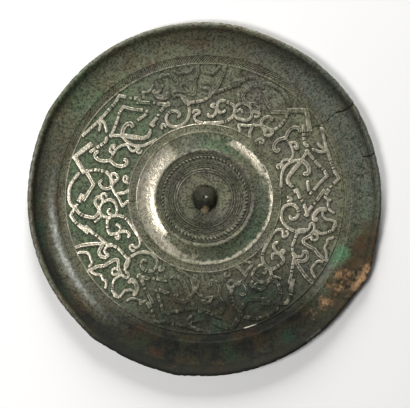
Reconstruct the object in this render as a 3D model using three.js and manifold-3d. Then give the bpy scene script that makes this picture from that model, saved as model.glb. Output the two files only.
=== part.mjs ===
// Bronze mirror with an interlaced dragon back, cast in one piece and lying on its polished face.
//
// Millimetres. +Z points up through the knob, out of the decorated back. The origin is the middle of
// the flat polished face, at its level. Bearings are degrees clockwise from +Y, as on a compass.

import * as THREE from 'three';
import { mergeVertices } from 'three/addons/utils/BufferGeometryUtils.js';
import Module from 'manifold-3d';

const wasm = await Module();
wasm.setup();

const { degToRad, smoothstep } = THREE.MathUtils;

// ---- Driving sizes ----

const RIM_RADIUS = 75;
const RIM_HEIGHT = 5;
const FIELD_HEIGHT = 2.2;       // plain field around the knob
const GROUND_HEIGHT = 2;        // sunk ground of the dragon field
const RELIEF = 0.5;             // how far the straps stand above that ground
const ROUND_SIDES = 60;

const INNER_LINE = 32;          // raised lines that bound the dragon field
const OUTER_LINE = 58.2;
const LINE_WIDTH = 0.5;
const THIRDS = 3;               // the dragon repeats three times round the field
const FIRST_BEARING = -8;

const KNOB_LENGTH = 11.4;       // along the cord, which runs on Y
const KNOB_WIDTH = 10.8;
const KNOB_TOP = 8;
const KNOB_SIDES = 20;
const CORD_HOLE_WIDTH = 3.8;
const CORD_HOLE_HEIGHT = 2.6;
const CORD_HOLE_SILL = 0.3;     // floor of the hole above the plain field

const SINK = 0.4;               // how far a joined piece reaches down into the plate
const STRAP_TURN = degToRad(50);  // most that a strap turns between two stations
const STRAP_STEP = 9;           // longest straight run on a round strap

// Half-section of the disc, from the middle of the back out to the rim and round to the face.
const RELIEF_TOP = GROUND_HEIGHT + RELIEF;
const SECTION = [
  [0, FIELD_HEIGHT],
  [17.0, FIELD_HEIGHT],          // rope ring
  [17.7, 2.9],
  [18.5, 2.35],
  [19.6, 2.35],                  // outer ridge of the boss
  [20.4, 3.0],
  [22.6, 2.15],                  // hollow polished band
  [26.2, 2.15],
  [28.4, 2.9],
  [29.1, 2.3],                   // hatched band
  [31.4, 2.3],
  [INNER_LINE - LINE_WIDTH / 2, RELIEF_TOP],
  [INNER_LINE + LINE_WIDTH / 2, RELIEF_TOP],
  [INNER_LINE + LINE_WIDTH / 2, GROUND_HEIGHT],
  [OUTER_LINE - LINE_WIDTH / 2, GROUND_HEIGHT],
  [OUTER_LINE - LINE_WIDTH / 2, RELIEF_TOP],
  [OUTER_LINE + LINE_WIDTH / 2, RELIEF_TOP],
  [58.9, 2.25],                  // slanted hatching
  [61.2, 2.25],
  [61.8, 2.7],
  [66.5, 1.9],                   // hollow plain border
  [70.4, 2.4],
  [72.4, 3.5],
  [73.5, RIM_HEIGHT - 0.1],      // raised rim
  [74.3, RIM_HEIGHT],
  [RIM_RADIUS, 4.1],
  [RIM_RADIUS, 1.1],
  [74.3, 0],
  [0, 0],
];

// The rings were struck a little out of true in the mould: oval, and off centre towards the middle.
const RINGS_OFF_CENTRE = new THREE.Vector2(0.15, 0.47);
const RINGS_OVAL = 0.014;

// Bumps and flats of the worn rim: middle bearing, half reach in degrees, growth of the radius.
const RIM_SWELLS = [
  { at: 24, reach: 7, growth: -0.65 },
  { at: 56, reach: 7, growth: 0.4 },
  { at: 115, reach: 4.8, growth: 1.65 },
  { at: 189, reach: 3, growth: 0.5 },
  { at: 219, reach: 3, growth: 0.55 },
  { at: 298, reach: 5, growth: 0.6 },
  { at: 318, reach: 17, growth: 0.7 },
];
// Where corrosion has eaten the raised lip down.
const LOST_LIP = { at: 115, reach: 5, share: 0.55 };

// One third of the dragon field. Each strap is a run of stations: a bearing from the start of the
// third, and a rise, which is 0 on the inner line and 1 on the outer one.
const STRAPS = [
  // Legs and frills along the outer line
  { bend: 'round', width: 1.4, path: [[5.3, 0.97], [4.9, 0.83], [3.4, 0.72], [2.9, 0.54], [1.6, 0.505],
    [-1.6, 0.565], [-4.8, 0.6]] },
  { bend: 'round', width: 1.1, path: [[-4.8, 0.93], [-3, 0.86], [1.3, 0.87], [4.2, 0.95]] },
  { bend: 'round', width: 1.4, path: [[16.7, 0.97], [15.8, 0.77], [14.6, 0.65], [13.2, 0.58], [12.1, 0.61],
    [9.7, 0.7], [7.2, 0.67], [6.9, 0.59]] },
  { bend: 'round', width: 1.1, path: [[7.6, 0.59], [9.9, 0.595], [10.9, 0.53], [10.4, 0.45]] },
  { bend: 'round', width: 1.1, path: [[6.8, 0.95], [7.8, 0.86], [12.4, 0.845], [14.2, 0.97]] },
  { bend: 'round', width: 1, path: [[-3.7, 0.61], [-3.2, 0.69], [-1, 0.685], [-0.7, 0.615]] },
  { bend: 'round', width: 1, path: [[97.4, 0.7], [98.6, 0.755], [102.2, 0.765], [104.4, 0.86]] },
  // Zigzag body, with its stepped blocks
  { bend: 'sharp', width: 1.2, path: [[-0.6, 0.365], [7.5, 0.385], [9.6, 0.43]] },
  { bend: 'sharp', width: 1.35, path: [[10.5, 0.44], [11.8, 0.51], [17.3, 0.587], [24.8, 0.74]] },
  { bend: 'sharp', width: 2, path: [[21, 0.715], [26.2, 0.84]] },
  { bend: 'sharp', width: 1.35, path: [[25, 0.82], [30.6, 0.94], [37.5, 0.765]] },
  { bend: 'sharp', width: 2.1, path: [[36.4, 0.785], [40, 0.725]] },
  { bend: 'sharp', width: 1.5, path: [[36.9, 0.715], [45.4, 0.565], [51.8, 0.735]] },
  { bend: 'sharp', width: 1.9, path: [[50.2, 0.735], [56.2, 0.955], [60.3, 0.88]] },
  { bend: 'sharp', width: 2.2, path: [[59.3, 0.895], [64.7, 0.79]] },
  { bend: 'round', width: 1.4, path: [[60.6, 0.765], [65, 0.67], [68.8, 0.615], [70.4, 0.645]] },
  // Low scroll with its curls
  { bend: 'round', width: 1.25, path: [[12, 0.015], [19, 0.045], [24.6, 0.12], [26.5, 0.24], [24.6, 0.375],
    [19, 0.41], [16.1, 0.375], [15.5, 0.22], [13.4, 0.13], [10.7, 0.14]] },
  { bend: 'round', width: 1.1, path: [[15.2, 0.28], [12.4, 0.29], [12.4, 0.33], [13.8, 0.335]] },
  { bend: 'round', width: 1.1, path: [[15.6, 0.25], [17.8, 0.21], [20.6, 0.25]] },
  { bend: 'round', width: 1.1, path: [[0.7, 0.205], [2.4, 0.23], [4.5, 0.195], [2, 0.152], [1.2, 0.095], [4, 0.02]] },
  // Ring, crest and neck
  { bend: 'round', width: 1.2, path: [[26.4, 0.3], [27.2, 0.41], [30.6, 0.463], [34.6, 0.43], [37, 0.33],
    [35, 0.215], [30.4, 0.193], [27.3, 0.22]] },
  { bend: 'round', width: 1, path: [[28.1, 0.295], [29.2, 0.34], [31.2, 0.315]] },
  { bend: 'round', width: 1, path: [[25.6, 0.565], [26.6, 0.5], [28.3, 0.445]] },
  { bend: 'round', width: 1.3, path: [[33.4, 0.84], [30.4, 0.765], [28.2, 0.62], [29.2, 0.505], [32.3, 0.48],
    [36.4, 0.53], [38.8, 0.49], [38.1, 0.45]] },
  { bend: 'round', width: 1, path: [[36, 0.41], [38.6, 0.41], [40.3, 0.415], [40.2, 0.355], [39, 0.345]] },
  { bend: 'round', width: 1.4, path: [[34, 0.865], [37, 0.938], [43, 0.938], [49.3, 0.835]] },
  // Hooks and loops between the zigzag and the inner line
  { bend: 'round', width: 1.2, path: [[47.8, 0.46], [45.6, 0.467], [43.7, 0.38], [45.2, 0.288], [50.6, 0.315]] },
  { bend: 'round', width: 1.2, path: [[51.2, 0.69], [53.1, 0.56], [53.1, 0.4], [49.9, 0.29], [50.2, 0.208],
    [53, 0.225], [53.3, 0.305]] },
  { bend: 'sharp', width: 1.2, path: [[35.3, 0.01], [32.6, 0.1], [39.4, 0.175], [45.2, 0.265], [49.4, 0.24]] },
  { bend: 'round', width: 1.4, path: [[40.6, 0.19], [41.5, 0.1], [43.6, 0.01]] },
  { bend: 'round', width: 1, path: [[49.3, 0.02], [50.2, 0.09], [53.3, 0.105], [53.2, 0.055]] },
  { bend: 'round', width: 1.4, path: [[62, 0.655], [60.2, 0.67], [58.5, 0.57], [60.1, 0.4], [58.9, 0.27],
    [60.8, 0.165], [63.6, 0.15], [64.4, 0.2]] },
  { bend: 'round', width: 1.1, path: [[60.2, 0.41], [66, 0.408], [71, 0.365], [74.4, 0.27]] },
  { bend: 'round', width: 1.1, path: [[74.6, 0.285], [72.3, 0.24], [72, 0.16], [75.3, 0.14]] },
  { bend: 'round', width: 1.1, path: [[64.6, 0.42], [65.6, 0.485], [68.5, 0.49], [68.6, 0.45]] },
  { bend: 'round', width: 1, path: [[76, 0.1], [73.2, 0.095], [73.2, 0.055], [75.6, 0.05]] },
  // Lozenge, and the dragon's head with its jaw, belly and tail
  { bend: 'sharp', width: 1.35, path: [[76.8, 0.42], [72.9, 0.59], [81.5, 0.68], [87.4, 0.765], [90, 0.64],
    [95.4, 0.475]] },
  { bend: 'sharp', width: 1.35, path: [[65.7, 0.985], [75.3, 0.895], [85.5, 0.9], [89.2, 0.955], [94, 0.77]] },
  { bend: 'sharp', width: 1.7, path: [[93.4, 0.78], [96.2, 0.715]] },
  { bend: 'sharp', width: 1.35, path: [[93.6, 0.7], [99.2, 0.57]] },
  { bend: 'sharp', width: 1.4, path: [[101.4, 0.525], [106.4, 0.432], [98.8, 0.32], [91.6, 0.25]] },
  { bend: 'round', width: 1.2, path: [[73, 0.69], [75.6, 0.79], [76.5, 0.9]] },
  { bend: 'sharp', width: 1.1, path: [[71.7, 0.802], [75.2, 0.87]] },
  { bend: 'round', width: 1.7, path: [[81.6, 0.205], [84, 0.152], [87, 0.14], [90.4, 0.19]] },
  { bend: 'sharp', width: 1.9, path: [[76, 0.455], [78.6, 0.33], [81, 0.235]] },
  { bend: 'round', width: 1.8, path: [[76.2, 0.455], [79.6, 0.51], [82.8, 0.51], [84, 0.435]] },
  { bend: 'sharp', width: 1.3, path: [[87.8, 0.45], [94, 0.448]] },
  { bend: 'round', width: 1.2, path: [[75.8, 0.43], [74.8, 0.29], [77.2, 0.13], [83.5, 0.045], [89, 0.02]] },
  { bend: 'round', width: 1.1, path: [[97.3, 0.11], [98.6, 0.165], [100.2, 0.11]] },
  // Great scroll, and the lobes above it
  { bend: 'round', width: 1.3, path: [[110.7, 0.175], [111.4, 0.255], [107.5, 0.3], [103, 0.23], [103.4, 0.09],
    [109, 0.028], [115.5, 0.09], [118.5, 0.25], [117.8, 0.41], [115.2, 0.51]] },
  { bend: 'sharp', width: 2.1, path: [[116.2, 0.475], [118.2, 0.36]] },
  { bend: 'round', width: 1.1, path: [[110, 0.93], [108.1, 0.87], [107.7, 0.74], [105, 0.675]] },
  { bend: 'round', width: 1.8, path: [[103.4, 0.71], [104.2, 0.6], [107.4, 0.55], [109.2, 0.6]] },
  { bend: 'round', width: 1.1, path: [[108.8, 0.905], [112, 0.895], [115.2, 0.74], [114.2, 0.61], [111.8, 0.59],
    [111.8, 0.525], [113.8, 0.525]] },
];

// ---- Shape of the casting ----

function swellOfRim(bearing) {
  let growth = 0;
  for (const swell of RIM_SWELLS) growth += swell.growth * bell(bearing, swell);
  return growth;
}

function bell(bearing, { at, reach }) {
  const away = Math.abs(((bearing - at) % 360 + 540) % 360 - 180) / reach;
  return Math.exp(-away * away / 2);
}

function bearingOf(x, y) {
  return (THREE.MathUtils.radToDeg(Math.atan2(x, y)) + 360) % 360;
}

// Where a point of the true drawing came out on the casting.
function asCast(x, y) {
  const radius = Math.hypot(x, y);
  const offCentre = 1 - smoothstep(radius, INNER_LINE, 82);
  const oval = RINGS_OVAL * (1 - smoothstep(radius, 60, RIM_RADIUS));
  const swell = 1 + swellOfRim(bearingOf(x, y)) * smoothstep(radius, 64, RIM_RADIUS) / RIM_RADIUS;
  return new THREE.Vector2(
    x * (1 + oval) * swell + RINGS_OFF_CENTRE.x * offCentre,
    y * (1 - oval) * swell + RINGS_OFF_CENTRE.y * offCentre,
  );
}

function onField(bearing, rise) {
  const radius = INNER_LINE + rise * (OUTER_LINE - INNER_LINE);
  const angle = degToRad(bearing);
  return asCast(radius * Math.sin(angle), radius * Math.cos(angle));
}

// ---- Solids ----

function solidOf(geometry) {
  geometry.deleteAttribute('normal');
  geometry.deleteAttribute('uv');
  const merged = mergeVertices(geometry, 1e-5);
  return new wasm.Manifold(new wasm.Mesh({
    numProp: 3,
    vertProperties: new Float32Array(merged.attributes.position.array),
    triVerts: new Uint32Array(merged.index.array),
  }));
}

function geometryOf(solid) {
  const mesh = solid.getMesh();
  const geometry = new THREE.BufferGeometry();
  geometry.setAttribute('position', new THREE.BufferAttribute(mesh.vertProperties, 3));
  geometry.setIndex(new THREE.BufferAttribute(mesh.triVerts, 1));
  geometry.computeVertexNormals();
  return geometry;
}

// A lathed geometry turns about +Y with its profile in X, so it is stood up along +Z.
function lathed(profile, sides) {
  const points = profile.map(([radius, height]) => new THREE.Vector2(radius, height));
  return new THREE.LatheGeometry(points.reverse(), sides).rotateX(Math.PI / 2);
}

function discSolid() {
  const geometry = lathed(SECTION, ROUND_SIDES);
  const position = geometry.attributes.position;
  for (let i = 0; i < position.count; i += 1) {
    const [x, y, z] = [position.getX(i), position.getY(i), position.getZ(i)];
    const cast = asCast(x, y);
    const lip = Math.max(0, z - FIELD_HEIGHT);
    const lost = LOST_LIP.share * bell(bearingOf(x, y), LOST_LIP) * smoothstep(Math.hypot(x, y), 68, 73);
    position.setXYZ(i, cast.x, cast.y, z - lip * lost);
  }
  return solidOf(geometry);
}

function stationsOf({ bend, path }) {
  const points = path.map(([bearing, rise]) => onField(bearing, rise));
  if (bend === 'sharp') return points;
  const curve = new THREE.SplineCurve(points);
  const fine = curve.getSpacedPoints(60);
  let turn = 0;
  for (let i = 2; i < fine.length; i += 1) {
    const before = fine[i - 1].clone().sub(fine[i - 2]);
    const after = fine[i].clone().sub(fine[i - 1]);
    turn += Math.abs(Math.atan2(before.cross(after), before.dot(after)));
  }
  const runs = Math.max(2, Math.round(turn / STRAP_TURN), Math.round(curve.getLength() / STRAP_STEP));
  return curve.getSpacedPoints(runs);
}

// Both edges of a strap, mitred at each station.
function outlineOf(stations, width) {
  const left = [];
  const right = [];
  for (let i = 0; i < stations.length; i += 1) {
    const here = stations[i];
    const from = stations[Math.max(0, i - 1)];
    const to = stations[Math.min(stations.length - 1, i + 1)];
    const arrive = (i > 0 ? here.clone().sub(from) : to.clone().sub(here)).normalize();
    const leave = (to !== here ? to.clone().sub(here) : here.clone().sub(from)).normalize();
    const along = arrive.clone().add(leave).normalize();
    const across = new THREE.Vector2(-along.y, along.x);
    const reach = width / 2 / Math.max(0.4, across.dot(new THREE.Vector2(-arrive.y, arrive.x)));
    left.push(here.clone().addScaledVector(across, reach));
    right.unshift(here.clone().addScaledVector(across, -reach));
  }
  return [...left, ...right];
}

function strapSolid(strap, turn) {
  const path = strap.path.map(([bearing, rise]) => [bearing + turn, rise]);
  const outline = outlineOf(stationsOf({ ...strap, path }), strap.width);
  const geometry = new THREE.ExtrudeGeometry(new THREE.Shape(outline), {
    depth: RELIEF + SINK,
    bevelEnabled: false,
  });
  return solidOf(geometry.translate(0, 0, GROUND_HEIGHT - SINK));
}

// A dome with a flat foot sunk into the plate, and an arched hole for the cord straight through.
function knobSolid() {
  const height = KNOB_TOP - FIELD_HEIGHT;
  const dome = [
    [0, KNOB_TOP],
    [0.3, KNOB_TOP - 0.04 * height],
    [0.62, KNOB_TOP - 0.18 * height],
    [0.88, KNOB_TOP - 0.48 * height],
    [0.98, KNOB_TOP - 0.78 * height],
    [1, FIELD_HEIGHT],
    [1, FIELD_HEIGHT - SINK],
    [0, FIELD_HEIGHT - SINK],
  ];
  const geometry = lathed(dome, KNOB_SIDES).scale(KNOB_WIDTH / 2, KNOB_LENGTH / 2, 1);
  return solidOf(geometry).subtract(cordHole());
}

function cordHole() {
  const half = CORD_HOLE_WIDTH / 2;
  const arch = new THREE.Shape();
  arch.moveTo(-half, 0);
  arch.lineTo(half, 0);
  arch.lineTo(half, CORD_HOLE_HEIGHT - half);
  arch.absarc(0, CORD_HOLE_HEIGHT - half, half, 0, Math.PI);
  const length = KNOB_LENGTH + 2;
  const geometry = new THREE.ExtrudeGeometry(arch, { depth: length, bevelEnabled: false, curveSegments: 6 });
  geometry.rotateX(Math.PI / 2).translate(0, length / 2, FIELD_HEIGHT + CORD_HOLE_SILL);
  return solidOf(geometry);
}

function mirrorSolid() {
  let solid = discSolid().add(knobSolid().translate(RINGS_OFF_CENTRE.x, RINGS_OFF_CENTRE.y, 0));
  for (let third = 0; third < THIRDS; third += 1) {
    const turn = FIRST_BEARING + third * 360 / THIRDS;
    for (const strap of STRAPS) solid = solid.add(strapSolid(strap, turn));
  }
  return solid;
}

// ---- Scene graph ----

const bronze = new THREE.MeshStandardMaterial({
  name: 'patinated_bronze',
  color: 0x4b5348,
  roughness: 0.5,
  metalness: 0.7,
});

const mirror = new THREE.Mesh(geometryOf(mirrorSolid()), bronze);
mirror.name = 'bronze_mirror';

const model = new THREE.Group();
model.add(mirror);

export default model;
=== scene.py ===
"""Looks of an ancient bronze mirror that lies on its polished face, its dragon back up.

The back was cast with its relief. High-tin bronze is silvery where it is bare, and centuries in the
ground have covered most of it with green, brown and grey patina. Sizes are in millimetres until the
mesh is made, and bearings are degrees clockwise from +Y, as on a compass.
"""

from math import ceil, pi, radians, tan
from typing import NamedTuple

import bmesh
import bpy
import numpy as np
from mathutils import Matrix, Vector


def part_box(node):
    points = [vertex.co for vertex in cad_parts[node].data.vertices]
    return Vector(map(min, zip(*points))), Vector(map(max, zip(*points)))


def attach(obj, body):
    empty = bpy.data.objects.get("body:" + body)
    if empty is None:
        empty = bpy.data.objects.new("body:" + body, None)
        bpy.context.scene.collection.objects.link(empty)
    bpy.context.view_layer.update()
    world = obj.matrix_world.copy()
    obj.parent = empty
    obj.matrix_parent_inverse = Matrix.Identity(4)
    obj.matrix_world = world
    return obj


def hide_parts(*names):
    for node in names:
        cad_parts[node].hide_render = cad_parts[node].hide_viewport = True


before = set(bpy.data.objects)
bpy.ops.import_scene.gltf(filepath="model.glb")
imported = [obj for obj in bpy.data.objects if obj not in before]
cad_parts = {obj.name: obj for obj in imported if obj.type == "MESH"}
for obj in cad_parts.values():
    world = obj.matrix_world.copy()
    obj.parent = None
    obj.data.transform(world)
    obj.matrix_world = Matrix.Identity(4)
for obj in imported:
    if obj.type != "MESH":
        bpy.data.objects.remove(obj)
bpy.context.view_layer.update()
MM = 0.001

# ---- Driving sizes, as the casting has them ----

RIM_RADIUS = 75
RIM_TOP = 5
KNOB_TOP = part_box("bronze_mirror")[1][2] / MM
KNOB_HALF = (5.4, 5.7)           # across and along the cord
FIELD_HEIGHT = 2.2               # plain field around the knob
GROUND_HEIGHT = 2                # sunk ground of the dragon field
RELIEF = 0.5
INNER_LINE = 32
OUTER_LINE = 58.2
FIRST_BEARING = -8               # where the first of the three dragons starts
THIRD = 120
RINGS_OFF_CENTRE = (0.15, 0.47)
RINGS_OVAL = 0.014

TRIANGLES = 196_000              # of the finished casting
COARSENESS = 1    # a trial run makes do with a quarter of the vertices
FINE_COLUMNS = 1440 // COARSENESS      # steps round the outer part of the skin
CORE_COLUMNS = 720 // COARSENESS
KNOB_FULLNESS = 2.2              # 2 would make the dome a half ellipsoid
KNOB_PLACE = (*RINGS_OFF_CENTRE, FIELD_HEIGHT)
CORD_HOLE_HALF = (1.9, 1.3)      # half its width and height
CORD_HOLE_SILL = .3
# The lower mouth, which the cord has worn open, and the soil left in it: middle and half sizes.
WORN_MOUTH = ((.3, -5.1, 4), (2, 2.7, 7))
SOIL_PLUG = ((.3, -4.2, 3), (1.95, 1.75, 1.3))

# ---- The drawing: straps of one third of the dragon field ----


class Strap(NamedTuple):
    """A flat raised band. Each station is a bearing from the start of the third, and a rise, which is 0
    on the inner line and 1 on the outer one."""

    width: float
    path: list
    sharp: bool = False          # straight runs with mitred corners, where the others are curves
    cuts: tuple = ()             # shares of the length where a joint crosses the band
    grooved: bool = False        # a line runs along the middle


LEGS = [
    Strap(1.4, [(5.3, .97), (4.9, .83), (3.4, .72), (3.3, .63), (2.9, .54), (1.8, .5), (0, .525),
                (-1.6, .565), (-4.6, .6)], grooved=True),
    Strap(1.1, [(-4.7, .93), (-3, .86), (-1.5, .875), (0, .86), (1.3, .87), (2.4, .915), (4.2, .95)]),
    Strap(1.4, [(16.7, .97), (16.5, .87), (15.8, .77), (14.8, .67), (13.5, .587), (12.4, .595),
                (11.3, .66), (9.7, .69), (7.8, .68), (6.5, .63), (6.9, .585)], grooved=True),
    Strap(1.1, [(6.9, .585), (9.3, .6), (10.4, .572), (11, .53), (10.4, .45)]),
    Strap(1.1, [(6.8, .93), (7.6, .865), (9.5, .847), (11.5, .838), (12.9, .87), (14.2, .97)]),
    Strap(.95, [(-3.7, .62), (-3.4, .68), (-2, .7), (-.8, .68), (-.6, .62), (-1.9, .6)]),
    Strap(1, [(97.4, .7), (98.4, .75), (100.4, .752), (102.2, .765), (103.6, .8), (104.4, .86)]),
    Strap(.95, [(98.3, .8), (99.6, .765)], sharp=True),
]
ZIGZAG = [
    Strap(1.2, [(-.6, .365), (7.5, .385), (9.6, .43)], sharp=True, cuts=(.3, .8)),
    Strap(1.3, [(10.5, .44), (11.8, .51), (17.3, .587), (20, .645), (24.8, .74)], sharp=True,
          cuts=(.52, .62)),
    Strap(1.75, [(21, .715), (26.2, .84)], sharp=True),
    Strap(1.3, [(26.6, .865), (30.6, .94), (35.4, .815)], sharp=True, cuts=(.1,)),
    Strap(2, [(36.4, .79), (40, .725)], sharp=True),
    Strap(1.5, [(36.9, .715), (45.4, .565), (51.8, .735)], sharp=True, grooved=True),
    Strap(1.9, [(50.2, .735), (56.2, .96), (60.3, .88)], sharp=True),
    Strap(2.15, [(59.3, .895), (64.7, .79)], sharp=True),
    Strap(1.4, [(60.9, .755), (63, .71), (66, .65), (68.8, .615), (70.3, .635)], cuts=(.3, .5, .7)),
]
LOW_SCROLL = [
    Strap(1.3, [(8, .012), (14, .02), (19, .045), (22.7, .08), (24.6, .12), (26, .17), (26.6, .24),
                (26.3, .32), (25, .37), (23.5, .385), (21.2, .4), (19, .41), (17, .4), (15.9, .36),
                (15.6, .3), (15.5, .22), (14.6, .16), (13, .127), (11.4, .125), (10.4, .15)],
          cuts=(.25, .282, .584, .63)),
    Strap(1.1, [(15.2, .28), (13, .283), (12.1, .305), (12.6, .328), (13.7, .334)]),
    Strap(1.1, [(15.9, .25), (17.8, .208), (19.5, .22), (20.6, .25)]),
    Strap(1.1, [(.6, .2), (1.4, .225), (3, .228), (4.6, .205), (4.2, .17), (2.3, .158), (1, .125),
                (1.4, .075), (3, .04), (6, .015)]),
]
RING_AND_NECK = [
    Strap(1.2, [(26.4, .3), (26.7, .38), (28.2, .44), (30.2, .463), (33, .455), (35.4, .41), (36.8, .34),
                (37, .28), (35.4, .22), (32.5, .195), (29.5, .195), (27.4, .22)]),
    Strap(.95, [(28.1, .295), (28.7, .33), (30, .345), (31.2, .315)]),
    Strap(1.05, [(25.6, .565), (26.4, .515), (27.3, .475), (28.3, .445)]),
    Strap(1.3, [(33.4, .835), (31.4, .8), (29.9, .74), (28.6, .66), (28, .59), (28.6, .535), (30.2, .49),
                (32.3, .48), (34.5, .515), (36.5, .53), (38.3, .505), (38.8, .465), (37.8, .455)],
          cuts=(.15, .215), grooved=True),
    Strap(1.05, [(36, .41), (38.2, .41), (40, .43), (40.6, .39), (40.1, .35), (38.9, .345)]),
    Strap(1.45, [(34, .865), (35.4, .915), (38, .943), (42, .945), (45, .918), (49.3, .835)]),
]
HOOKS = [
    Strap(1.2, [(47.8, .455), (46.9, .478), (45.4, .465), (44, .415), (43.6, .355), (44.4, .3),
                (46.4, .285), (48.6, .3), (50.6, .315)], grooved=True),
    Strap(1.2, [(51.2, .69), (52.4, .64), (53.1, .56), (53.4, .47), (53.2, .4), (52, .35), (50.6, .31),
                (49.2, .27), (49.6, .22), (51.2, .2), (52.8, .225), (53.5, .275), (53, .315), (52, .305)],
          cuts=(.12, .2, .276, .356)),
    Strap(1.15, [(35.3, .02), (33.8, .06), (32.4, .095), (34.5, .12), (37, .14), (39.4, .175), (40.8, .21),
                 (43, .24), (45.2, .268), (47.5, .255), (49.4, .225)]),
    Strap(1.3, [(40.6, .19), (41.3, .13), (42, .06), (44, .01)]),
    Strap(1, [(49.3, .03), (49.8, .075), (51, .108), (53, .115), (53.7, .085), (53, .057), (51.9, .055)]),
    Strap(1.4, [(62, .655), (60.8, .675), (59.4, .65), (58.5, .59), (58.7, .51), (60, .43), (60.1, .39),
                (59.2, .33), (58.9, .27), (59.6, .2), (61.2, .16), (63, .148), (64.4, .175), (64.2, .205)],
          grooved=True),
    Strap(1.1, [(60.2, .41), (64, .41), (67.5, .403), (70.7, .37), (72.6, .325), (74.2, .27)],
          cuts=(.1, .175)),
    Strap(1.1, [(74.6, .28), (73, .26), (71.9, .21), (72, .16), (73.3, .138), (75.3, .14)]),
    Strap(1.1, [(64.6, .42), (65.2, .475), (66.8, .498), (68.6, .49), (69, .462), (67.6, .447)]),
    Strap(.9, [(76, .1), (74, .105), (72.9, .08), (73.6, .05), (75.6, .05)]),
]
LOZENGE = [
    Strap(1.3, [(76.8, .42), (72.8, .59), (77.5, .635), (81.5, .685), (84.5, .745), (87.4, .77),
                (90, .64), (93.7, .53)], sharp=True, cuts=(.37, .54, .59)),
    Strap(1.05, [(94.6, .497), (95.7, .465)], sharp=True),
    Strap(1.3, [(65.7, .985), (70.7, .93), (75.3, .895), (85.5, .9), (89.2, .955), (91.2, .86)],
          sharp=True, cuts=(.57, .625, .66, .71)),
    Strap(1.05, [(92, .825), (92.9, .792)], sharp=True),
    Strap(1.6, [(93.6, .775), (96.2, .715)], sharp=True),
    Strap(1.3, [(93.6, .7), (99.2, .57)], sharp=True, grooved=True),
    Strap(1.05, [(100.3, .552), (101.2, .533)], sharp=True),
    Strap(1.4, [(102.2, .505), (106.6, .432), (101.6, .372)], sharp=True),
    Strap(1.2, [(73, .69), (74.4, .735), (75.6, .79), (76, .84), (76.5, .9)]),
    Strap(1.1, [(71.7, .802), (73.4, .825), (75.2, .87)]),
]
HEAD = [
    Strap(1.15, [(99.2, .323), (100.1, .342)], sharp=True),
    Strap(1.45, [(98.2, .305), (91.8, .255)], sharp=True),
    Strap(1.1, [(92.4, .22), (94.8, .228)], sharp=True),
    Strap(1.1, [(89.8, .19), (90.6, .195)], sharp=True),
    Strap(1.65, [(81.8, .2), (84, .155), (86.5, .138), (88.8, .165)]),
    Strap(1.9, [(76, .45), (78, .36), (79.4, .29), (81, .235)]),
    Strap(1.75, [(76.2, .45), (78, .488), (80.4, .515), (82.6, .513), (84.2, .48), (83.9, .435)],
          grooved=True),
    Strap(1.3, [(88, .45), (91, .442), (94, .448)], sharp=True),
    Strap(1.2, [(75.8, .43), (75, .36), (74.8, .28), (75.5, .2), (77, .135), (79.5, .085), (83.5, .045),
                (89, .02)]),
    Strap(1.1, [(97.3, .11), (97.9, .15), (99, .165), (100, .145), (100.2, .11)]),
]
GREAT_SCROLL = [
    Strap(1.3, [(110.7, .175), (111.8, .205), (111.4, .255), (109.8, .288), (107.5, .3), (105, .28),
                (103, .23), (102.3, .16), (103.2, .09), (105.6, .045), (109, .028), (112.5, .045),
                (115.5, .09), (117.5, .16), (118.5, .25), (118.5, .34), (117.8, .41), (116.6, .465),
                (115.2, .51)], cuts=(.175, .21, .82)),
    Strap(2.1, [(116.2, .475), (118.2, .36)], sharp=True),
    Strap(1.1, [(110, .93), (108.3, .9), (107.9, .83), (108, .76), (106.8, .705), (105, .675)]),
    Strap(1.8, [(103.4, .71), (103.8, .63), (105.4, .575), (107.4, .55), (109.1, .56), (109.1, .6)]),
    Strap(1.15, [(108.8, .905), (110.4, .9), (112, .895), (113.2, .85), (114.3, .8), (115.2, .74),
                 (115, .67), (114.4, .61), (112.4, .595), (111.4, .56), (112.2, .52), (113.8, .525)],
          cuts=(.23, .28, .33)),
]
STRAPS = LEGS + ZIGZAG + LOW_SCROLL + RING_AND_NECK + HOOKS + LOZENGE + HEAD + GREAT_SCROLL

# ---- Section of the back, from the middle out ----

SECTION = [
    (0, FIELD_HEIGHT), (16.4, FIELD_HEIGHT), (17.0, 2.3), (19.7, 2.35),
    (20.1, 2.75), (20.7, 2.95),                                         # outer ridge of the boss
    (21.6, 2.5), (23, 2.18), (24.6, 2.1), (26.2, 2.22), (27.6, 2.5),    # hollow polished band
    (28.3, 2.72), (28.95, 2.4), (31.6, 2.3), (32.1, 2.1), (32.5, GROUND_HEIGHT),
    (57.7, GROUND_HEIGHT), (58.5, 2.2), (61.5, 2.25),
    (61.8, 2.45), (62.2, 2.5), (64, 2.2), (66.4, 1.98), (68.2, 1.96), (70, 2.2),  # hollow border
    (71.3, 2.6), (72.3, 3.5), (73.0, 4.5), (73.6, 4.92), (74.2, RIM_TOP), (74.7, 4.72), (RIM_RADIUS, 4.1),
]
# Fine raised lines: radius, half width, height.
LINES = [
    (11.7, .22, .14), (12.6, .26, .22), (13.7, .2, .08), (14.6, .2, .08), (15.5, .2, .08),
    (18.8, .22, .2), (28.6, .28, .25), (INNER_LINE - .05, .3, .5), (OUTER_LINE, .3, .48),
]
ROPE_RING = 17.6
ROPE_STRANDS = 68
ROPE_LEAN = 2.2                       # radians of a strand's wave for each millimetre outward
INNER_HATCH = (29.2, 31.4, 240)       # from, to and number of strokes
OUTER_HATCH = (58.7, 61.4, 360)
OUTER_HATCH_SLANT = radians(48)
OUTER_EDGE = 61.9
# How much is left of the outer hatching and of the line outside it, at bearings round the mirror.
OUTER_HATCH_KEPT = [(288, 1), (25, 1), (45, .35), (75, .1), (265, .15)]
OUTER_EDGE_KEPT = [(95, 1), (125, .2), (195, .2), (215, 1)]

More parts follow.
